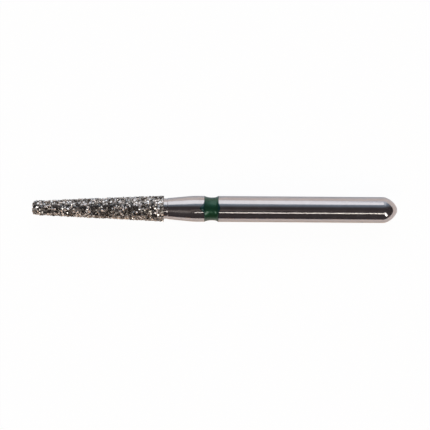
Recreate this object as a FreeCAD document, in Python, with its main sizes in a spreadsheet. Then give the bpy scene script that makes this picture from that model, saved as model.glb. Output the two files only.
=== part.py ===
import FreeCAD, Part
import itertools
import math
import os
import random
import Sketcher

# Dental bur of the friction-grip kind with a tapered diamond head.
# Its axis lies along X. The working end points to -X and the shank end to +X.
# The origin is on the axis, in the middle of the length that a handpiece grips.
document = FreeCAD.newDocument("DentalBur")
sheet = document.addObject("Spreadsheet::Sheet", "Sizes")

# Driving sizes in millimetres, from the shank end to the working end
DRIVING_SIZES = [
    ("shank_diameter", 1.60),
    ("grip_length", 10.31),
    ("dome_length", 0.79),
    ("dome_radius", 1.17),
    ("nose_diameter", 0.26),
    ("ring_width", 0.78),
    ("ring_depth", 0.17),
    ("rim_chamfer", 0.04),
    ("lacquer_sink", 0.084),
    ("meniscus_reach", 0.18),
    ("waist_bow_radius", 8.0),
    ("land_length", 0.83),
    ("neck_length", 1.45),
    ("neck_blend_radius", 2.5),
    ("neck_tip_diameter", 1.31),
    ("relief_length", 0.235),
    ("relief_diameter", 1.25),
    ("relief_bevel", 0.02),
    ("head_length", 8.18),
    ("head_diameter", 1.66),
    ("tip_diameter", 0.94),
    ("tip_round", 0.12),
    ("bond_thickness", 0.08),
    ("grit_stand", 0.085),
    ("coarse_grain", 0.23),
    ("fine_grain", 0.13),
]
for row, (name, value) in enumerate(DRIVING_SIZES, start=1):
    sheet.set(f"A{row}", str(value))
    sheet.setAlias(f"A{row}", name)
document.recompute()

# Stations on the axis, each worked out from its neighbour on the way to the tip
CREASE = "(Sizes.grip_length / 2)"
NOSE = f"({CREASE} + Sizes.dome_length)"
RING_BACK = "(-Sizes.grip_length / 2)"
RING_FRONT = f"({RING_BACK} - Sizes.ring_width)"
NECK_BACK = f"({RING_FRONT} - Sizes.land_length)"
NECK_FRONT = f"({NECK_BACK} - Sizes.neck_length)"
HEAD_BACK = f"({NECK_FRONT} - Sizes.relief_length)"
SKIN_TIP = f"({HEAD_BACK} - Sizes.head_length + Sizes.grit_stand)"
CORE_TIP = f"({SKIN_TIP} + Sizes.bond_thickness)"

# Radii of the shank and its colour ring
AXIS = "(0 * Sizes.shank_diameter)"
SHANK = "(Sizes.shank_diameter / 2)"
NOSE_FLAT = "(Sizes.nose_diameter / 2)"
RING_FLOOR = f"({SHANK} - Sizes.ring_depth)"
RIM_FOOT = f"({SHANK} - Sizes.rim_chamfer)"
WAIST = f"({SHANK} - Sizes.lacquer_sink)"

# The neck: a cone, with a long blend where it runs out into the shank's full radius
NECK_TIP = "(Sizes.neck_tip_diameter / 2)"
RELIEF = "(Sizes.relief_diameter / 2)"
NECK_TAPER = f"(atan(({SHANK} - {NECK_TIP}) / Sizes.neck_length))"
BLEND_REACH = f"(Sizes.neck_blend_radius * tan({NECK_TAPER} / 2))"
BLEND_LOW = (
    f"({NECK_BACK} - {BLEND_REACH} * cos({NECK_TAPER}))",
    f"({SHANK} - {BLEND_REACH} * sin({NECK_TAPER}))",
)
BLEND_HIGH = (f"({NECK_BACK} + {BLEND_REACH})", SHANK)

# Radii of the head, from the tops of the crystals inwards
SKIN_BACK = "(Sizes.head_diameter / 2 - Sizes.grit_stand)"
SKIN_END = "(Sizes.tip_diameter / 2 - Sizes.grit_stand)"
CORE_BACK = f"({SKIN_BACK} - Sizes.bond_thickness)"
CORE_END = f"({SKIN_END} - Sizes.bond_thickness)"

# How close two places are that count as one
SAME_PLACE = 1e-5


def measure(expression):
    """The value of an expression of the sheet, in millimetres."""
    return float(sheet.evalExpression(expression))


def new_body(label):
    body = document.addObject("PartDesign::Body", label)
    body.Label = label
    return body


def arc_between(start, end, radius):
    """The arc of less than half a turn that runs counter-clockwise from start to end."""
    chord = end - start
    across = FreeCAD.Vector(-chord.y, chord.x, 0).normalize()
    centre = (start + end) * 0.5 + across * math.sqrt(radius**2 - chord.Length**2 / 4)
    angles = [math.atan2(p.y - centre.y, p.x - centre.x) for p in (start, end)]
    return Part.ArcOfCircle(Part.Circle(centre, FreeCAD.Vector(0, 0, 1), radius), *angles)


def half_section(body, label, corners, convex=None, concave=None):
    """A closed outline on one side of the axis, clockwise from corner to corner.

    Each corner is a station and a radius. convex and concave give the radius of each side
    that is an arc, under the number of the corner where that side starts.
    """
    sketch = body.newObject("Sketcher::SketchObject", label)
    plane = next(p for p in body.Origin.OriginFeatures if p.Role == "XZ_Plane")
    sketch.AttachmentSupport = [(plane, "")]
    sketch.MapMode = "FlatFace"
    points = [FreeCAD.Vector(measure(x), measure(r), 0) for x, r in corners]
    convex = convex or {}
    concave = concave or {}
    ends = []
    for number, start in enumerate(points):
        end = points[(number + 1) % len(points)]
        if number in convex:
            sketch.addGeometry(arc_between(end, start, measure(convex[number])))
            ends.append((2, 1))
        elif number in concave:
            sketch.addGeometry(arc_between(start, end, measure(concave[number])))
            ends.append((1, 2))
        else:
            sketch.addGeometry(Part.LineSegment(start, end))
            ends.append((1, 2))
    for number, corner in enumerate(corners):
        before = (number - 1) % len(corners)
        meet = ("Coincident", before, ends[before][1], number, ends[number][0])
        sketch.addConstraint(Sketcher.Constraint(*meet))
        for kind, place in zip(("DistanceX", "DistanceY"), corner):
            hold = (kind, -1, 1, number, ends[number][0], measure(place))
            tie = sketch.addConstraint(Sketcher.Constraint(*hold))
            sketch.setExpression(f"Constraints[{tie}]", place)
    for number, radius in {**convex, **concave}.items():
        tie = sketch.addConstraint(Sketcher.Constraint("Radius", number, measure(radius)))
        sketch.setExpression(f"Constraints[{tie}]", radius)
    return sketch


def turn(body, kind, label, sketch):
    """A full turn of a half section about the axis, added or cut as kind says."""
    feature = body.newObject(kind, label)
    feature.Profile = sketch
    feature.ReferenceAxis = (sketch, ["H_Axis"])
    feature.Angle = 360
    document.recompute()
    return feature


def round_edges(feature, station, radius):
    """Names of a feature's circular edges at one station and radius."""
    names = []
    for number, edge in enumerate(feature.Shape.Edges, start=1):
        if not isinstance(edge.Curve, Part.Circle):
            continue
        off_station = abs(edge.Curve.Center.x - measure(station))
        off_radius = abs(edge.Curve.Radius - measure(radius))
        if max(off_station, off_radius) < SAME_PLACE:
            names.append(f"Edge{number}")
    return names


def break_edges(body, kind, label, places, size_name, size):
    """A fillet or chamfer on the circular edges at the given stations and radii."""
    base = body.Tip
    names = [name for place in places for name in round_edges(base, *place)]
    feature = body.newObject(kind, label)
    feature.Base = (base, names)
    feature.setExpression(size_name, size)
    document.recompute()
    return feature


def make_steel_blank():
    """The turned blank: shank, neck and the tapered core of the head in one piece of steel."""
    body = new_body("steel_blank")
    corners = [
        (CORE_TIP, AXIS),
        (CORE_TIP, CORE_END),
        (HEAD_BACK, CORE_BACK),
        (HEAD_BACK, RELIEF),
        (NECK_FRONT, RELIEF),
        (NECK_FRONT, NECK_TIP),
        BLEND_LOW,
        BLEND_HIGH,
        (CREASE, SHANK),
        (NOSE, NOSE_FLAT),
        (NOSE, AXIS),
    ]
    bulges = {6: "Sizes.neck_blend_radius", 8: "Sizes.dome_radius"}
    outline = half_section(body, "blank_outline", corners, convex=bulges)
    turn(body, "PartDesign::Revolution", "turned_blank", outline)
    groove_corners = [
        (RING_FRONT, RING_FLOOR),
        (RING_FRONT, f"({SHANK} + Sizes.ring_depth)"),
        (RING_BACK, f"({SHANK} + Sizes.ring_depth)"),
        (RING_BACK, RING_FLOOR),
    ]
    groove = half_section(body, "ring_groove_outline", groove_corners)
    turn(body, "PartDesign::Groove", "ring_groove", groove)
    rims = [(RING_FRONT, SHANK), (RING_BACK, SHANK)]
    break_edges(body, "PartDesign::Chamfer", "groove_rims", rims, "Size", "Sizes.rim_chamfer")
    foot = [(NECK_FRONT, RELIEF)]
    break_edges(body, "PartDesign::Chamfer", "relief_foot", foot, "Size", "Sizes.relief_bevel")
    return body


def make_nickel_bond():
    """The plated nickel sleeve that covers the core's taper and tip and holds the crystals."""
    body = new_body("nickel_bond")
    corners = [
        (SKIN_TIP, AXIS),
        (SKIN_TIP, SKIN_END),
        (HEAD_BACK, SKIN_BACK),
        (HEAD_BACK, CORE_BACK),
        (CORE_TIP, CORE_END),
        (CORE_TIP, AXIS),
    ]
    outline = half_section(body, "bond_outline", corners)
    turn(body, "PartDesign::Revolution", "plated_sleeve", outline)
    tip = [(SKIN_TIP, SKIN_END)]
    break_edges(body, "PartDesign::Fillet", "tip_corner", tip, "Radius", "Sizes.tip_round")
    return body


def make_colour_band():
    """The lacquer ring that marks the grit: it fills its groove and sinks to a hollow waist."""
    body = new_body("colour_band")
    front_reach = f"({RING_FRONT} + Sizes.meniscus_reach)"
    back_reach = f"({RING_BACK} - Sizes.meniscus_reach)"
    corners = [
        (RING_FRONT, RING_FLOOR),
        (RING_FRONT, RIM_FOOT),
        (front_reach, WAIST),
        (back_reach, WAIST),
        (RING_BACK, RIM_FOOT),
        (RING_BACK, RING_FLOOR),
    ]
    drop = f"({RIM_FOOT} - {WAIST})"
    meniscus = f"((Sizes.meniscus_reach ^ 2 + {drop} ^ 2) / (2 * {drop}))"
    hollows = {1: meniscus, 2: "Sizes.waist_bow_radius", 3: meniscus}
    outline = half_section(body, "band_outline", corners, concave=hollows)
    turn(body, "PartDesign::Revolution", "lacquer_ring", outline)
    return body


class NickelSkin:
    """The outer line of the sleeve from its rear edge over the tip corner to the axis."""

    def __init__(self):
        self.back = measure(HEAD_BACK)
        self.tip = measure(SKIN_TIP)
        self.back_radius = measure(SKIN_BACK)
        end_radius = measure(SKIN_END)
        self.corner = measure("Sizes.tip_round")
        self.taper = math.atan2(self.back_radius - end_radius, self.back - self.tip)
        self.corner_station = self.tip + self.corner
        self.flat = end_radius + self.corner * (math.tan(self.taper) - 1 / math.cos(self.taper))
        cone_end = self.corner_station - self.corner * math.sin(self.taper)
        self.cone_run = (self.back - cone_end) / math.cos(self.taper)
        self.corner_run = self.corner * (math.pi / 2 - self.taper)
        self.length = self.cone_run + self.corner_run + self.flat

    def place(self, run):
        """Station, radius and the angle of the outward normal, at a run along the line."""
        if run < self.cone_run:
            station = self.back - run * math.cos(self.taper)
            return station, self.back_radius - run * math.sin(self.taper), self.taper
        run -= self.cone_run
        if run < self.corner_run:
            lean = self.taper + run / self.corner
            station = self.corner_station - self.corner * math.sin(lean)
            return station, self.flat + self.corner * math.cos(lean), lean
        return self.tip, self.flat + self.corner_run - run, math.pi / 2


def crystal_sides(size, chance):
    """The eight sides of a broken octahedron of at most this size, in any attitude."""
    axis = FreeCAD.Vector(*(chance.gauss(0, 1) for _ in range(3)))
    attitude = FreeCAD.Rotation(axis, chance.uniform(0, 360))
    tips = []
    for direction in (FreeCAD.Vector(1, 0, 0), FreeCAD.Vector(0, 1, 0), FreeCAD.Vector(0, 0, 1)):
        reaches = [size / 2 * chance.uniform(*BROKEN) for _ in range(2)]
        along = attitude.multVec(direction)
        tips.append((along * reaches[0], along * -reaches[1]))
    sides = []
    for number, side in enumerate(itertools.product(*tips)):
        turned_over = number.bit_count() % 2
        sides.append(list(side[::-1] if turned_over else side))
    return sides


def above_skin(side, height):
    """What stands above the skin, at height 0, of a flat side that is lifted by a height."""
    lifted = [point + FreeCAD.Vector(0, 0, height) for point in side]
    kept = []
    for start, end in zip(lifted, lifted[1:] + lifted[:1]):
        if start.z > 0:
            kept.append(start)
        if (start.z > 0) != (end.z > 0):
            kept.append(start + (end - start) * (start.z / (start.z - end.z)))
    return kept


def flat_face(points):
    return Part.Face(Part.makePolygon(points + points[:1]))


def crystal_solid(sides):
    """The solid of a crystal from the skin upwards, with the flat foot that it stands on."""
    foot = [point for side in sides for point in side if abs(point.z) < SAME_PLACE]
    middle = sum(foot, FreeCAD.Vector()) / len(foot)
    foot.sort(key=lambda point: math.atan2(point.y - middle.y, point.x - middle.x))
    ring = zip(foot, foot[1:] + foot[:1])
    rim = [point for point, after in ring if (point - after).Length > SAME_PLACE]
    return Part.Solid(Part.makeShell([flat_face(side) for side in sides + [rim[::-1]]]))


class Scatter:
    """Crystals that have settled on the skin, kept by the cell of space that they lie in."""

    def __init__(self, cell_size):
        self.cell_size = cell_size
        self.cells = {}

    def cell(self, place):
        return tuple(math.floor(value / self.cell_size) for value in place)

    def is_free(self, place, reach):
        x, y, z = self.cell(place)
        steps = (-1, 0, 1)
        for dx, dy, dz in itertools.product(steps, steps, steps):
            for other, other_reach in self.cells.get((x + dx, y + dy, z + dz), []):
                if (place - other).Length < reach + other_reach:
                    return False
        return True

    def settle(self, place, reach):
        self.cells.setdefault(self.cell(place), []).append((place, reach))


# How far a broken crystal's six tips reach, as a share of half its size
BROKEN = (0.8, 1.0)

# How often a crystal is offered to the skin for each place that it has
TRIES_PER_GRAIN = 30

# Height of a crystal's middle over the skin, lowest and highest, as a share of its size
SEAT_HEIGHT = (-0.05, 0.16)

# How far a crystal sinks where the skin would pass exactly through one of its tips
TIP_CLEARANCE = 0.001


def make_diamond_grit():
    """The crystals on the nickel skin: coarse ones settle first, finer ones between them."""
    chance = random.Random(18)
    skin = NickelSkin()
    stand = measure("Sizes.grit_stand")
    coarse = measure("Sizes.coarse_grain")
    fine = measure("Sizes.fine_grain")
    tries = int(TRIES_PER_GRAIN * 2 * math.pi * skin.back_radius * skin.length / coarse**2)
    scatter = Scatter(coarse)
    crystals = []
    for count in range(tries):
        size = coarse + (fine - coarse) * count / tries
        station, radius, lean = skin.place(chance.uniform(size / 2, skin.length))
        if chance.uniform(0, skin.back_radius) > radius:
            continue
        sides = crystal_sides(size, chance)
        top = max(point.z for side in sides for point in side)
        height = min(size * chance.uniform(*SEAT_HEIGHT), stand - top)
        if any(abs(point.z + height) < SAME_PLACE for side in sides for point in side):
            height -= TIP_CLEARANCE
        sides = [above_skin(side, height) for side in sides]
        sides = [side for side in sides if side]
        reach = max(math.hypot(point.x, point.y) for side in sides for point in side)
        round_axis = FreeCAD.Rotation(FreeCAD.Vector(1, 0, 0), chance.uniform(0, 360))
        upright = FreeCAD.Rotation(FreeCAD.Vector(0, 1, 0), -math.degrees(lean))
        place = round_axis.multVec(FreeCAD.Vector(station, 0, radius))
        if not scatter.is_free(place, reach):
            continue
        scatter.settle(place, reach)
        crystal = crystal_solid(sides)
        crystal.Placement = FreeCAD.Placement(place, round_axis * upright)
        crystals.append(crystal)
    grit = document.addObject("Part::Feature", "diamond_grit")
    grit.Label = "diamond_grit"
    grit.Shape = Part.makeCompound(crystals)
    grit.Placement = FreeCAD.Placement()
    return grit


pieces = [make_steel_blank(), make_nickel_bond(), make_diamond_grit(), make_colour_band()]
document.recompute()
for item in document.Objects:
    if "Invalid" in item.State or "Error" in item.State:
        raise RuntimeError(f"{item.Label} could not be made: {item.State}")
for piece in pieces:
    if piece.Shape.isNull() or not piece.Shape.isValid():
        raise RuntimeError(f"{piece.Label} has no sound shape")
os.makedirs("parts", exist_ok=True)
for piece in pieces:
    piece.Shape.exportStep(f"parts/{piece.Label}.step")
    solids = len(piece.Shape.Solids)
    print(f"{piece.Label}: {solids} solids, {piece.Shape.Volume:.4f} mm3")
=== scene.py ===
import bpy
import itertools
import math
import random
from mathutils import Matrix, Vector


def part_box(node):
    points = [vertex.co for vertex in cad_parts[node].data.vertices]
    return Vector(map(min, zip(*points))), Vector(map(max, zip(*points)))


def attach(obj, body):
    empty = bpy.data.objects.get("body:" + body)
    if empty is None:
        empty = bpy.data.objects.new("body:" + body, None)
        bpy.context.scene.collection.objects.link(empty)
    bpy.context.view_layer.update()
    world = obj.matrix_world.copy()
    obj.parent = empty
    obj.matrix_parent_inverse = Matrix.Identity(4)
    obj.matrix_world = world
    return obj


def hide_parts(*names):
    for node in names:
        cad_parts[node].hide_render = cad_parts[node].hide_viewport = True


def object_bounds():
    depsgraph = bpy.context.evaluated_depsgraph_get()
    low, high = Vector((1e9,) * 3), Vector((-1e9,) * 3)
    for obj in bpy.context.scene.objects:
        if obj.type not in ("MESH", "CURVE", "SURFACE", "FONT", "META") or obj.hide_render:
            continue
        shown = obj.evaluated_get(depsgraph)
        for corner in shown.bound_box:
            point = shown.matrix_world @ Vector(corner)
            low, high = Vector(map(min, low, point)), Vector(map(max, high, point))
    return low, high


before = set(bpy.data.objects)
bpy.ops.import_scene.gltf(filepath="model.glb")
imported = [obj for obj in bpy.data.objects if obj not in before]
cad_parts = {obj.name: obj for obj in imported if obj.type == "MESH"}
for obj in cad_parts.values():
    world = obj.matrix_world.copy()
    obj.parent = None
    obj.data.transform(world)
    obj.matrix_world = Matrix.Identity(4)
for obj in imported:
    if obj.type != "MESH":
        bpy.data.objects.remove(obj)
cad_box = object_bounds()


# Steel blank
# The bur's body is one rod of stainless steel, turned and then ground between wheels: a shank
# with an ogive end, a neck that begins at a crease, a relief groove and a core for the diamond.

# Lengths are in millimetres here and in metres in the meshes. The tip points to -X.
MM = 0.001
GRIP_LENGTH = 10.31
SHANK_RADIUS = 0.80
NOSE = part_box("steel_blank")[1].x / MM
NOSE_RADIUS = 0.13
NOSE_EDGE_BACK, NOSE_EDGE_RISE, NOSE_EDGE_DROP = 0.004, 0.008, 0.02
DOME_ARC = 1.17
DOME_STEPS = 40
CREASE = GRIP_LENGTH / 2
CREASE_POLISH = 0.09
POLISH_STEPS = 10
RING_LENGTH = 0.78
RING_BACK = -GRIP_LENGTH / 2
RING_FRONT = RING_BACK - RING_LENGTH
GROOVE_RADIUS = 0.63
RIM_BREAK = 0.04
RIM_STEPS = 6
LAND_LENGTH = 0.635
KNEE_LENGTH, KNEE_RADIUS = 0.23, 0.788
NECK_LENGTH = 1.645
NECK_BACK = RING_FRONT - LAND_LENGTH
NECK_FRONT = NECK_BACK - NECK_LENGTH
NECK_TIP_RADIUS = 0.655
SHOULDER_HOLLOW = 0.14
SHOULDER_STEPS = 8
RELIEF_LENGTH = 0.265
RELIEF_RADIUS = 0.625
HEAD_BACK = NECK_FRONT - RELIEF_LENGTH
CORE_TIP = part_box("steel_blank")[0].x / MM
CORE_BACK_RADIUS = 0.665
CORE_TIP_RADIUS = 0.305
TURNING_STEPS = 160
# A run over LONG_RUN gets one more ring near each of its ends, BRACE_GAP away from it
BRACE_GAP = 0.012
LONG_RUN = 6 * BRACE_GAP
WELD_REACH = 1e-4
SMOOTH_BELOW = math.radians(25)


def arc(start, end, radius, count):
    """Points from start to end on an arc, hollow where the radius is below 0."""
    start, end = Vector(start), Vector(end)
    chord = end - start
    side = Vector((chord.y, -chord.x)).normalized() * math.copysign(1, radius)
    centre = (start + end) / 2 + side * math.sqrt(radius**2 - chord.length_squared / 4)
    turn = 2 * math.asin(chord.length / 2 / abs(radius)) * math.copysign(1, -radius)
    spoke = start - centre
    steps = (Matrix.Rotation(turn * step / count, 2) @ spoke for step in range(count + 1))
    return [tuple(centre + step) for step in steps]


def braced(outline):
    """The outline with a point near both ends of each long run, so its shading stays true."""
    points = [outline[0]]
    for start, end in zip(outline, outline[1:]):
        run = Vector(end) - Vector(start)
        if run.length > LONG_RUN:
            points.append(tuple(Vector(start) + run.normalized() * BRACE_GAP))
            points.append(tuple(Vector(end) - run.normalized() * BRACE_GAP))
        points.append(end)
    return points


def turned(name, outline, steps=TURNING_STEPS):
    """A piece turned about the X axis from an outline of (station, radius) points."""
    bpy.ops.object.select_all(action="DESELECT")
    outline = braced(outline)
    start = Vector((outline[0][0], 0, outline[0][1])) * MM
    bpy.ops.mesh.primitive_plane_add(size=MM, location=(0, 0, 0))
    piece = bpy.context.object
    piece.name = name
    bpy.ops.object.mode_set(mode="EDIT")
    bpy.ops.mesh.select_all(action="SELECT")
    bpy.ops.mesh.merge(type="CENTER")
    bpy.ops.transform.translate(value=start)
    for (x, r), (next_x, next_r) in zip(outline, outline[1:]):
        step = Vector((next_x - x, 0, next_r - r)) * MM
        bpy.ops.mesh.extrude_region_move(TRANSFORM_OT_translate={"value": step})
    bpy.ops.mesh.select_all(action="SELECT")
    bpy.ops.mesh.spin(steps=steps, angle=2 * math.pi, center=(0, 0, 0), axis=(1, 0, 0))
    bpy.ops.mesh.select_all(action="SELECT")
    bpy.ops.mesh.remove_doubles(threshold=MM * WELD_REACH)
    bpy.ops.mesh.normals_make_consistent(inside=False)
    bpy.ops.object.mode_set(mode="OBJECT")
    bpy.ops.object.shade_smooth_by_angle(angle=SMOOTH_BELOW)
    return piece


def linear(code):
    """An sRGB hex colour as the linear RGBA that a shader takes."""
    channels = [int(code[i:i + 2], 16) / 255 for i in (1, 3, 5)]
    curved = [c / 12.92 if c <= 0.04045 else ((c + 0.055) / 1.055) ** 2.4 for c in channels]
    return curved + [1]


def add(tree, kind, settings=None, **links):
    """A node with its settings, and its sockets set or linked by name, or by number as _0."""
    node = tree.nodes.new(kind)
    for key, value in (settings or {}).items():
        setattr(node, key, value)
    for key, value in links.items():
        name = key.replace("_", " ").strip()
        socket = node.inputs[int(name) if name.isdigit() else name]
        if isinstance(value, bpy.types.NodeSocket):
            tree.links.new(value, socket)
        else:
            socket.default_value = value
    return node


def new_material(name):
    """A material with an empty node tree."""
    material = bpy.data.materials.new(name)
    material.use_nodes = True
    material.node_tree.nodes.clear()
    return material, material.node_tree


# The outline runs from the core's tip to the nose. The shoulder's hollow meets the relief
# groove at a tangent, and the crease where the dome begins is polished to a small arc.
shoulder_rise = NECK_TIP_RADIUS - RELIEF_RADIUS
shoulder_reach = math.sqrt(SHOULDER_HOLLOW**2 - (SHOULDER_HOLLOW - shoulder_rise) ** 2)
blank_outline = [
    (CORE_TIP, 0),
    (CORE_TIP, CORE_TIP_RADIUS),
    (HEAD_BACK, CORE_BACK_RADIUS),
    (HEAD_BACK, RELIEF_RADIUS),
]
blank_outline += arc(
    (NECK_FRONT - shoulder_reach, RELIEF_RADIUS), (NECK_FRONT, NECK_TIP_RADIUS),
    -SHOULDER_HOLLOW, SHOULDER_STEPS,
)
blank_outline += [(NECK_BACK - KNEE_LENGTH, KNEE_RADIUS), (NECK_BACK, SHANK_RADIUS)]
blank_outline += arc(
    (RING_FRONT - RIM_BREAK, SHANK_RADIUS), (RING_FRONT, SHANK_RADIUS - RIM_BREAK),
    RIM_BREAK, RIM_STEPS,
)
blank_outline += [(RING_FRONT, GROOVE_RADIUS), (RING_BACK, GROOVE_RADIUS)]
blank_outline += arc(
    (RING_BACK, SHANK_RADIUS - RIM_BREAK), (RING_BACK + RIM_BREAK, SHANK_RADIUS),
    RIM_BREAK, RIM_STEPS,
)
dome = arc((CREASE, SHANK_RADIUS), (NOSE, NOSE_RADIUS), DOME_ARC, DOME_STEPS)
polished = next(place for place in dome if place[0] > CREASE + CREASE_POLISH)
polish_drop = SHANK_RADIUS - polished[1]
polish_reach = polished[0] - CREASE + CREASE_POLISH
half_chord = math.hypot(polish_drop, polish_reach) / 2
polish_radius = half_chord / math.sin(math.atan2(polish_drop, polish_reach))
blank_outline += arc(
    (CREASE - CREASE_POLISH, SHANK_RADIUS), polished, polish_radius, POLISH_STEPS
)
blank_outline += [place for place in dome if place[0] > polished[0]][:-1]
blank_outline += [
    (NOSE - NOSE_EDGE_BACK, NOSE_RADIUS + NOSE_EDGE_RISE),
    (NOSE, NOSE_RADIUS - NOSE_EDGE_DROP),
    (NOSE, 0),
]
steel_blank = turned("steel_blank_ground", blank_outline)

# Ground stainless steel: a grey metal with a faint warm cast. The wheels leave fine lines
# round it, a few hundredths of a millimetre apart, that draw each light out along the axis.
GRIND_LINE = 0.03
GRIND_RUN = 4.5
GRIND_DEPTH = 0.006
GRIND_BUMP = 0.10
GRIND_PATCH = 0.45
PATCH_LOW, PATCH_HIGH = 0.3, 0.7
SMOOTHEST, ROUGHEST = 0.105, 0.17
steel, tree = new_material("ground_stainless_steel")
coords = add(tree, "ShaderNodeTexCoord").outputs["Object"]
line_map = add(
    tree, "ShaderNodeMapping", Vector=coords,
    Scale=(1 / (GRIND_LINE * MM), 1 / (GRIND_RUN * MM), 1 / (GRIND_RUN * MM)),
)
lines = add(tree, "ShaderNodeTexNoise", Vector=line_map.outputs[0], Scale=1.0, Detail=2.0)
patch_map = add(
    tree, "ShaderNodeMapping", Vector=coords, Scale=(1 / (GRIND_PATCH * MM),) * 3
)
patches = add(tree, "ShaderNodeTexNoise", Vector=patch_map.outputs[0], Scale=1.0, Detail=3.0)
roughness = add(
    tree, "ShaderNodeMapRange", Value=patches.outputs[0], From_Min=PATCH_LOW,
    From_Max=PATCH_HIGH, To_Min=SMOOTHEST, To_Max=ROUGHEST,
)
tone = add(
    tree, "ShaderNodeMix", {"data_type": "RGBA"}, Factor=patches.outputs[0],
    _6=linear("#B9B3B0"), _7=linear("#C9C5C4"),
)
bump = add(
    tree, "ShaderNodeBump", Height=lines.outputs[0], Strength=GRIND_BUMP,
    Distance=GRIND_DEPTH * MM,
)
steel_shader = add(
    tree, "ShaderNodeBsdfPrincipled", Metallic=1.0, Base_Color=tone.outputs[2],
    Roughness=roughness.outputs[0], Normal=bump.outputs[0],
)
add(tree, "ShaderNodeOutputMaterial", Surface=steel_shader.outputs[0])
steel_blank.data.materials.append(steel)
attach(steel_blank, "root")
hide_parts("steel_blank")


# Colour band
# Green lacquer marks coarse grit. It is run into the groove while wet, clings to both walls
# and dries with a hollow waist, and a thin lip of it stays on the steel beside the groove.
HOLLOW = 1.6
WAIST_END = 0.716
WAIST_STEPS = 8
# How far from each wall the waist ends and the steeper hollow up to the wall begins
FRONT_REACH = 0.28
BACK_REACH = 0.18
CLING_STEPS = 12
FOOT_OUT, FOOT_RADIUS = 0.012, 0.790
LIP_OUT, LIP_DIP = 0.024, 0.003
# The film on the steel: its thickness, that of its edge, and how deep the edge's foot sinks
LACQUER_FILM = 0.002
FILM_EDGE = 0.0005
FILM_SUNK = 0.004
FRONT_FILM_EDGE, FRONT_FILM_END = 0.001, 0.002
BACK_FILM, BACK_FILM_END = 0.06, 0.003
EDGE_MARGIN = 0.0005
SMEAR_REACH, BACK_SMEAR = 0.28, 0.11
SMEAR_TURN = math.radians(9)
SMEAR_SPREAD = math.radians(16)
film_radius = SHANK_RADIUS + LACQUER_FILM
waist_front = (RING_FRONT + FRONT_REACH, WAIST_END)
waist_back = (RING_BACK - BACK_REACH, WAIST_END)
waist_slope = math.asin((waist_back[0] - waist_front[0]) / 2 / HOLLOW)
front_foot = (RING_FRONT - FOOT_OUT, FOOT_RADIUS)
back_foot = (RING_BACK + FOOT_OUT, FOOT_RADIUS)
front_end = (RING_FRONT - RIM_BREAK - FRONT_FILM_END, SHANK_RADIUS - FILM_SUNK)


def cling(foot, waist):
    """Radius of the hollow that leads from the waist, at its slope, up to a wall's edge."""
    chord = Vector(foot) - Vector(waist)
    return -chord.length / 2 / math.sin(math.atan2(chord.y, abs(chord.x)) - waist_slope)


band_outline = [
    front_end,
    (RING_FRONT - RIM_BREAK - FRONT_FILM_EDGE, SHANK_RADIUS + FILM_EDGE),
    (RING_FRONT - RIM_BREAK, film_radius),
    (RING_FRONT - LIP_OUT, film_radius - LIP_DIP),
]
band_outline += arc(front_foot, waist_front, cling(front_foot, waist_front), CLING_STEPS)
band_outline += arc(waist_front, waist_back, -HOLLOW, WAIST_STEPS)[1:-1]
band_outline += arc(waist_back, back_foot, cling(back_foot, waist_back), CLING_STEPS)
band_outline += [
    (RING_BACK + LIP_OUT, film_radius - LIP_DIP),
    (RING_BACK + RIM_BREAK, film_radius),
    (RING_BACK + BACK_FILM, SHANK_RADIUS + FILM_EDGE),
    (RING_BACK + BACK_FILM + BACK_FILM_END, SHANK_RADIUS - FILM_SUNK),
    (RING_BACK, GROOVE_RADIUS),
    (RING_FRONT, GROOVE_RADIUS),
    front_end,
]
colour_band = turned("colour_band_lacquer", band_outline)

# Near the top the wet lacquer has crept further along the steel, on both sides of the ring.
for vertex in colour_band.data.vertices:
    turn = math.atan2(vertex.co.y, vertex.co.z)
    smear = math.exp(-((turn - SMEAR_TURN) / SMEAR_SPREAD) ** 2)
    if vertex.co.x < (RING_FRONT - RIM_BREAK - EDGE_MARGIN) * MM:
        vertex.co.x -= SMEAR_REACH * smear * MM
    if vertex.co.x > (RING_BACK + BACK_FILM - EDGE_MARGIN) * MM:
        vertex.co.x += BACK_SMEAR * smear * MM

# Green lacquer: a glossy clear coat over a dark green with a metal's sheen, which pools
# unevenly in the groove and turns blue-green where it lies thin on the steel.
POOLS_PER_MM = 3
THIN_FROM = 0.03
lacquer, tree = new_material("green_lacquer")
coords = add(tree, "ShaderNodeTexCoord").outputs["Object"]
pool_map = add(tree, "ShaderNodeMapping", Vector=coords, Scale=(POOLS_PER_MM / MM,) * 3)
pools = add(tree, "ShaderNodeTexNoise", Vector=pool_map.outputs[0], Scale=1.0, Detail=2.0)
green = add(
    tree, "ShaderNodeMix", {"data_type": "RGBA"}, Factor=pools.outputs[0],
    _6=linear("#163F2A"), _7=linear("#22503A"),
)
along = add(tree, "ShaderNodeSeparateXYZ", Vector=coords).outputs["X"]
centred = add(
    tree, "ShaderNodeMath", {"operation": "SUBTRACT"}, _0=along,
    _1=(RING_FRONT + RING_BACK) / 2 * MM,
)
from_middle = add(tree, "ShaderNodeMath", {"operation": "ABSOLUTE"}, _0=centred.outputs[0])
half_ring = (RING_BACK - RING_FRONT) / 2
thinness = add(
    tree, "ShaderNodeMapRange", Value=from_middle.outputs[0],
    From_Min=half_ring * MM, From_Max=(half_ring + THIN_FROM) * MM,
)
tint = add(
    tree, "ShaderNodeMix", {"data_type": "RGBA"}, Factor=thinness.outputs[0],
    _6=green.outputs[2], _7=linear("#163B39"),
)
lacquer_shader = add(
    tree, "ShaderNodeBsdfPrincipled", Base_Color=tint.outputs[2], Metallic=0.6, Roughness=0.35,
    Specular_IOR_Level=0.2, Coat_Weight=0.6, Coat_IOR=1.5, Coat_Roughness=0.03,
)
add(tree, "ShaderNodeOutputMaterial", Surface=lacquer_shader.outputs[0])
colour_band.data.materials.append(lacquer)
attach(colour_band, "root")
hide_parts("colour_band")


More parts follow.
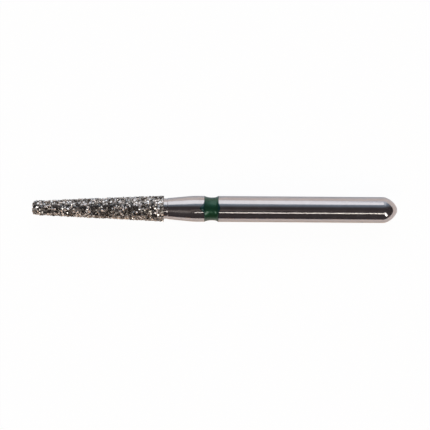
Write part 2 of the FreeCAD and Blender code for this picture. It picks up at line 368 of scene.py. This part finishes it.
# Nickel bond
# The sleeve that holds the diamonds is plated on in a bath: matt grey nickel, a little
# lumpy where it climbs the crystals, with a plain edge at the back of the head.
SKIN_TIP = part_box("nickel_bond")[0].x / MM
SKIN_BACK_RADIUS = 0.745
SKIN_TIP_RADIUS = 0.385
SKIN_EDGE = 0.01
SKIN_RINGS = 160
SLEEVE_STEPS = 128
TIP_ROUND = 0.12
TIP_STEPS = 8
TIP_FACE_RING = 0.5
skin_taper = math.atan2(SKIN_BACK_RADIUS - SKIN_TIP_RADIUS, HEAD_BACK - SKIN_TIP)
corner_centre = (
    SKIN_TIP + TIP_ROUND,
    SKIN_TIP_RADIUS + TIP_ROUND * (math.tan(skin_taper) - 1 / math.cos(skin_taper)),
)
corner_high = (
    corner_centre[0] - TIP_ROUND * math.sin(skin_taper),
    corner_centre[1] + TIP_ROUND * math.cos(skin_taper),
)
bond_outline = [(CORE_TIP, 0), (SKIN_TIP, 0), (SKIN_TIP, corner_centre[1] * TIP_FACE_RING)]
bond_outline += arc((SKIN_TIP, corner_centre[1]), corner_high, TIP_ROUND, TIP_STEPS)
for ring in range(1, SKIN_RINGS):
    share = ring / SKIN_RINGS
    bond_outline.append(tuple(
        a + (b - a) * share for a, b in zip(corner_high, (HEAD_BACK, SKIN_BACK_RADIUS))
    ))
bond_outline += [
    (HEAD_BACK - SKIN_EDGE, SKIN_BACK_RADIUS),
    (HEAD_BACK, SKIN_BACK_RADIUS - SKIN_EDGE),
    (HEAD_BACK, CORE_BACK_RADIUS),
    (CORE_TIP, CORE_TIP_RADIUS),
    (CORE_TIP, 0),
]
nickel_bond = turned("nickel_bond_plating", bond_outline, SLEEVE_STEPS)

# Electroplated nickel, not polished: a dark, warm grey metal whose fine nodules, about 0.07 mm
# across, break up its shine.
NODULES_PER_MM = 14
NODULE_HEIGHT = 0.02
NODULE_BUMP = 0.6
nickel, tree = new_material("plated_nickel")
coords = add(tree, "ShaderNodeTexCoord").outputs["Object"]
nodule_map = add(tree, "ShaderNodeMapping", Vector=coords, Scale=(NODULES_PER_MM / MM,) * 3)
nodules = add(tree, "ShaderNodeTexNoise", Vector=nodule_map.outputs[0], Scale=1.0, Detail=4.0)
grey = add(
    tree, "ShaderNodeMix", {"data_type": "RGBA"}, Factor=nodules.outputs[0],
    _6=linear("#5E5953"), _7=linear("#96908A"),
)
bump = add(
    tree, "ShaderNodeBump", Height=nodules.outputs[0], Strength=NODULE_BUMP,
    Distance=NODULE_HEIGHT * MM,
)
nickel_shader = add(
    tree, "ShaderNodeBsdfPrincipled", Metallic=1.0, Base_Color=grey.outputs[2],
    Roughness=0.30, Normal=bump.outputs[0],
)
add(tree, "ShaderNodeOutputMaterial", Surface=nickel_shader.outputs[0])
nickel_bond.data.materials.append(nickel)
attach(nickel_bond, "root")
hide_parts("nickel_bond")


# Diamond grit
# Broken crystals of coarse diamond, 0.08 to 0.15 mm across, sit half sunk in the nickel.
# They are blocks with flat cleaved faces, so each one glints where a face meets a light.
COARSE, FINE = 0.150, 0.080
GRAIN_KINDS = 8
GRAIN_CUTS = 6
GRAIN_TRIES = 50000
# Shares of a crystal's size: its sides, how far from its middle it is cleaved, and how near
# it comes to the head's rear edge and to another crystal
SHORTEST_SIDE, LONGEST_SIDE = 0.75, 1.0
DEEPEST_CUT, LIGHTEST_CUT = 0.38, 0.5
EDGE_KEEP = 0.5
CLOSEST = 0.47
# The tip's rounded corner is shorter than its two sides by this share of its radius
CORNER_SAVING = 0.4
# A crystal stands GRIT_STAND above the skin at most, and LOWEST_STAND of that at least. A
# bias below 1 makes tall ones common.
GRIT_STAND = 0.085
LOWEST_STAND, STAND_BIAS = 0.3, 0.7
LOOSE_SHARE = 0.3
LEAN = math.radians(14)
chance = random.Random(11)


def broken_crystal():
    """Corners and faces of one crystal about 1 across: a block with its corners cleaved."""
    bpy.ops.object.select_all(action="DESELECT")
    bpy.ops.mesh.primitive_cube_add(size=1)
    block = bpy.context.object
    bpy.ops.object.mode_set(mode="EDIT")
    bpy.ops.mesh.select_all(action="SELECT")
    sides = [chance.uniform(SHORTEST_SIDE, LONGEST_SIDE) for _ in range(3)]
    bpy.ops.transform.resize(value=sides)
    for _ in range(GRAIN_CUTS):
        normal = Vector([chance.gauss(0, 1) for _ in range(3)]).normalized()
        bpy.ops.mesh.select_all(action="SELECT")
        bpy.ops.mesh.bisect(
            plane_co=normal * chance.uniform(DEEPEST_CUT, LIGHTEST_CUT), plane_no=normal,
            use_fill=True, clear_outer=True,
        )
    bpy.ops.object.mode_set(mode="OBJECT")
    corners = [vertex.co.copy() for vertex in block.data.vertices]
    faces = [tuple(polygon.vertices) for polygon in block.data.polygons]
    bpy.data.objects.remove(block)
    return corners, faces


def skin_place(run):
    """Station, radius and lean of the nickel skin at a run from its rear edge to the axis."""
    cone_run = (HEAD_BACK - corner_high[0]) / math.cos(skin_taper)
    if run < cone_run:
        station = HEAD_BACK - run * math.cos(skin_taper)
        return station, SKIN_BACK_RADIUS - run * math.sin(skin_taper), skin_taper
    run -= cone_run
    corner_run = TIP_ROUND * (math.pi / 2 - skin_taper)
    if run < corner_run:
        lean = skin_taper + run / TIP_ROUND
        station = corner_centre[0] - TIP_ROUND * math.sin(lean)
        return station, corner_centre[1] + TIP_ROUND * math.cos(lean), lean
    return SKIN_TIP, corner_centre[1] - (run - corner_run), math.pi / 2


# Coarse crystals settle first and finer ones between them, as many as find room. Most lie
# nearly flat, and the loose ones at any lean. All are copied into one mesh.
kinds = [broken_crystal() for _ in range(GRAIN_KINDS)]
side_run = (HEAD_BACK - SKIN_TIP) / math.cos(skin_taper)
skin_run = side_run + SKIN_TIP_RADIUS - TIP_ROUND * CORNER_SAVING
cells = {}
grit_corners, grit_faces, grit_tones = [], [], []
for count in range(GRAIN_TRIES):
    size = COARSE + (FINE - COARSE) * count / GRAIN_TRIES
    station, radius, lean = skin_place(chance.uniform(size * EDGE_KEEP, skin_run))
    if radius < 0 or chance.uniform(0, SKIN_BACK_RADIUS) > radius:
        continue
    about = Matrix.Rotation(chance.uniform(0, 2 * math.pi), 3, "X")
    place = about @ Vector((station, 0, radius))
    cell = tuple(math.floor(value / COARSE) for value in place)
    near = itertools.product(*((c - 1, c, c + 1) for c in cell))
    beside = [other for key in near for other in cells.get(key, [])]
    if any((place - spot).length < CLOSEST * (size + other) for spot, other in beside):
        continue
    cells.setdefault(cell, []).append((place, size))
    corners, faces = kinds[chance.randrange(GRAIN_KINDS)]
    if chance.random() < LOOSE_SHARE:
        tip_over = chance.uniform(0, math.pi)
    else:
        tip_over = chance.gauss(0, LEAN)
    attitude = Matrix.Rotation(chance.uniform(0, 2 * math.pi), 3, "Z")
    attitude = attitude @ Matrix.Rotation(tip_over, 3, "X")
    attitude = attitude @ Matrix.Rotation(chance.uniform(0, 2 * math.pi), 3, "Z")
    turned_corners = [attitude @ corner * size for corner in corners]
    top = max(corner.z for corner in turned_corners)
    height = GRIT_STAND * chance.uniform(LOWEST_STAND, 1) ** STAND_BIAS - top
    seat = about @ Matrix.Rotation(-lean, 3, "Y")
    first = len(grit_corners)
    for corner in turned_corners:
        grit_corners.append((place + seat @ (corner + Vector((0, 0, height)))) * MM)
    grit_faces += [tuple(first + number for number in face) for face in faces]
    grit_tones += [chance.random()] * len(corners)

grit_mesh = bpy.data.meshes.new("diamond_grit_crystals")
grit_mesh.from_pydata(grit_corners, [], grit_faces)
tone_layer = grit_mesh.attributes.new("grain_tone", "FLOAT", "POINT")
tone_layer.data.foreach_set("value", grit_tones)
diamond_grit = bpy.data.objects.new("diamond_grit_crystals", grit_mesh)
bpy.context.scene.collection.objects.link(diamond_grit)

# Broken diamond: crystals from dark grey-brown to cream. The dark ones mirror their
# surroundings as a metal does, and the pale ones also scatter light.
PALE_FROM = 0.5
DARK_GLEAM, PALE_GLEAM = 0.95, 0.3
diamond, tree = new_material("broken_diamond")
grain = add(tree, "ShaderNodeAttribute", {"attribute_name": "grain_tone"}).outputs["Fac"]
body = add(
    tree, "ShaderNodeMix", {"data_type": "RGBA"}, Factor=grain,
    _6=linear("#5E5850"), _7=linear("#F6F1E9"),
)
gleam = add(
    tree, "ShaderNodeMapRange", Value=grain, From_Min=PALE_FROM, From_Max=1.0,
    To_Min=DARK_GLEAM, To_Max=PALE_GLEAM,
)
diamond_shader = add(
    tree, "ShaderNodeBsdfPrincipled", Base_Color=body.outputs[2], Metallic=gleam.outputs[0],
    Roughness=0.17, IOR=2.42,
)
add(tree, "ShaderNodeOutputMaterial", Surface=diamond_shader.outputs[0])
diamond_grit.data.materials.append(diamond)
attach(diamond_grit, "root")
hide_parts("diamond_grit")


# Table
# The bur lies on a sheet of white matt paper. The camera sees it almost plain white, and
# metal sees a little of that white. The rest is lit, so the bur keeps its shadow.
TABLE_SIZE = 4.0
TABLE_CAMERA_SHARE, TABLE_MIRROR_SHARE = 0.97, 0.14


def white_share(tree, camera_part, mirror_part):
    """How much plain white a ray meets: one part for the camera's, one for mirrored rays."""
    rays = add(tree, "ShaderNodeLightPath").outputs
    mirrored = add(
        tree, "ShaderNodeMath", {"operation": "MAXIMUM"},
        _0=rays["Is Glossy Ray"], _1=rays["Is Transmission Ray"],
    )
    for_camera = add(
        tree, "ShaderNodeMath", {"operation": "MULTIPLY"},
        _0=rays["Is Camera Ray"], _1=camera_part,
    )
    for_mirror = add(
        tree, "ShaderNodeMath", {"operation": "MULTIPLY"},
        _0=mirrored.outputs[0], _1=mirror_part,
    )
    share = add(
        tree, "ShaderNodeMath", {"operation": "MAXIMUM"},
        _0=for_camera.outputs[0], _1=for_mirror.outputs[0],
    )
    return share.outputs[0]


bpy.ops.object.select_all(action="DESELECT")
bpy.ops.mesh.primitive_plane_add(size=TABLE_SIZE, location=(0, 0, cad_box[0].z))
table = bpy.context.object
table.name = "table"
paper, tree = new_material("white_paper")
seen = white_share(tree, TABLE_CAMERA_SHARE, TABLE_MIRROR_SHARE)
lit = add(tree, "ShaderNodeBsdfDiffuse", Color=linear("#F4F3F1"))
white = add(tree, "ShaderNodeEmission", Color=linear("#FFFFFF"), Strength=1.0)
mix = add(tree, "ShaderNodeMixShader", Fac=seen, _1=lit.outputs[0], _2=white.outputs[0])
add(tree, "ShaderNodeOutputMaterial", Surface=mix.outputs[0])
table.data.materials.append(paper)


# Light
# A wide soft window and a weaker panel beside it on the far side, a thin strip above the near
# side, a strip towards each end, a dim card by the tip, and two fills that metal doesn't show.
def soft_lamp(name, direction, distance, width, height, radiance, colour):
    """An area lamp in a direction from the bur, facing it, as bright as its radiance says."""
    lamp = bpy.data.lights.new(name, "AREA")
    lamp.shape = "RECTANGLE"
    lamp.size = width
    lamp.size_y = height
    lamp.color = linear(colour)[:3]
    lamp.energy = radiance * math.pi * width * height
    holder = bpy.data.objects.new(name, lamp)
    holder.location = Vector(direction).normalized() * distance
    holder.rotation_euler = (-Vector(direction)).to_track_quat("-Z", "Y").to_euler()
    holder.visible_camera = False
    bpy.context.scene.collection.objects.link(holder)
    return holder


soft_lamp(
    "window", (-0.286, 0.905, 0.314), distance=0.50, width=0.42, height=0.375,
    radiance=0.98, colour="#FFFAF9",
)
soft_lamp(
    "window_side", (0.304, 0.907, 0.292), distance=0.50, width=0.22, height=0.35,
    radiance=0.30, colour="#FFFAF9",
)
soft_lamp(
    "near_strip", (0.100, -0.430, 0.897), distance=0.36, width=0.104, height=0.015,
    radiance=5.5, colour="#FFFAF4",
)
soft_lamp(
    "shank_end_strip", (0.491, -0.533, 0.689), distance=0.50, width=0.125, height=0.335,
    radiance=4.0, colour="#FFFCF8",
)
soft_lamp(
    "tip_end_strip", (-0.479, -0.449, 0.754), distance=0.50, width=0.08, height=0.20,
    radiance=7.0, colour="#FFFCF8",
)
soft_lamp(
    "tip_side_card", (-0.229, -0.351, 0.908), distance=0.45, width=0.08, height=0.40,
    radiance=0.10, colour="#FFEFE4",
)
far_fill = soft_lamp(
    "far_fill", (0, 0.8, 0.6), distance=0.60, width=0.50, height=0.25,
    radiance=5.4, colour="#DAE6FF",
)
near_fill = soft_lamp(
    "near_fill", (0, -0.8, 0.6), distance=0.60, width=0.50, height=0.25,
    radiance=4.7, colour="#FFC48C",
)
far_fill.visible_glossy = False
near_fill.visible_glossy = False

# The room is dim, and bluish daylight comes in low on the far side. The camera sees plain
# white in its place, and metal sees a trace of that white.
DAYLIGHT_FROM, DAYLIGHT_FULL = 0.32, 0.89
ROOM_CAMERA_SHARE, ROOM_MIRROR_SHARE = 1.0, 0.01
world = bpy.data.worlds.new("dim_room")
bpy.context.scene.world = world
world.use_nodes = True
tree = world.node_tree
tree.nodes.clear()
sky = add(tree, "ShaderNodeTexCoord").outputs["Generated"]
far_side = add(tree, "ShaderNodeSeparateXYZ", Vector=sky).outputs["Y"]
daylight = add(
    tree, "ShaderNodeMapRange", {"interpolation_type": "SMOOTHSTEP"}, Value=far_side,
    From_Min=DAYLIGHT_FROM, From_Max=DAYLIGHT_FULL,
)
air = add(
    tree, "ShaderNodeMix", {"data_type": "RGBA"}, Factor=daylight.outputs[0],
    _6=linear("#403A3C"), _7=linear("#9CACBF"),
)
room = add(tree, "ShaderNodeBackground", Color=air.outputs[2], Strength=1.0)
pale = add(tree, "ShaderNodeBackground", Color=linear("#FFFFFF"), Strength=1.0)
seen = white_share(tree, ROOM_CAMERA_SHARE, ROOM_MIRROR_SHARE)
mix = add(tree, "ShaderNodeMixShader", Fac=seen, _1=room.outputs[0], _2=pale.outputs[0])
add(tree, "ShaderNodeOutputWorld", Surface=mix.outputs[0])


# Camera
# It looks down on the bur, leaning seven degrees from the vertical towards the far side, from
# far enough away that the bur shows no perspective. Its lengths are in millimetres.
FIELD_WIDTH = 26.617
LENS = 180.0
SENSOR = 36.0
AIM = Vector((-5.311, -0.380, 0))
TILT = math.radians(-6.6)
ROLL = math.radians(0.4)
distance = FIELD_WIDTH * LENS / SENSOR
camera_data = bpy.data.cameras.new("view_from_above")
camera_data.lens = LENS
camera_data.sensor_width = SENSOR
camera_data.clip_start = 0.01
camera_data.clip_end = 10.0
camera = bpy.data.objects.new("view_from_above", camera_data)
camera.rotation_euler = (TILT, 0, ROLL)
back = camera.rotation_euler.to_matrix() @ Vector((0, 0, 1))
camera.location = (AIM + back * distance) * MM
bpy.context.scene.collection.objects.link(camera)
bpy.context.scene.camera = camera
bpy.context.scene.view_settings.view_transform = "Standard"
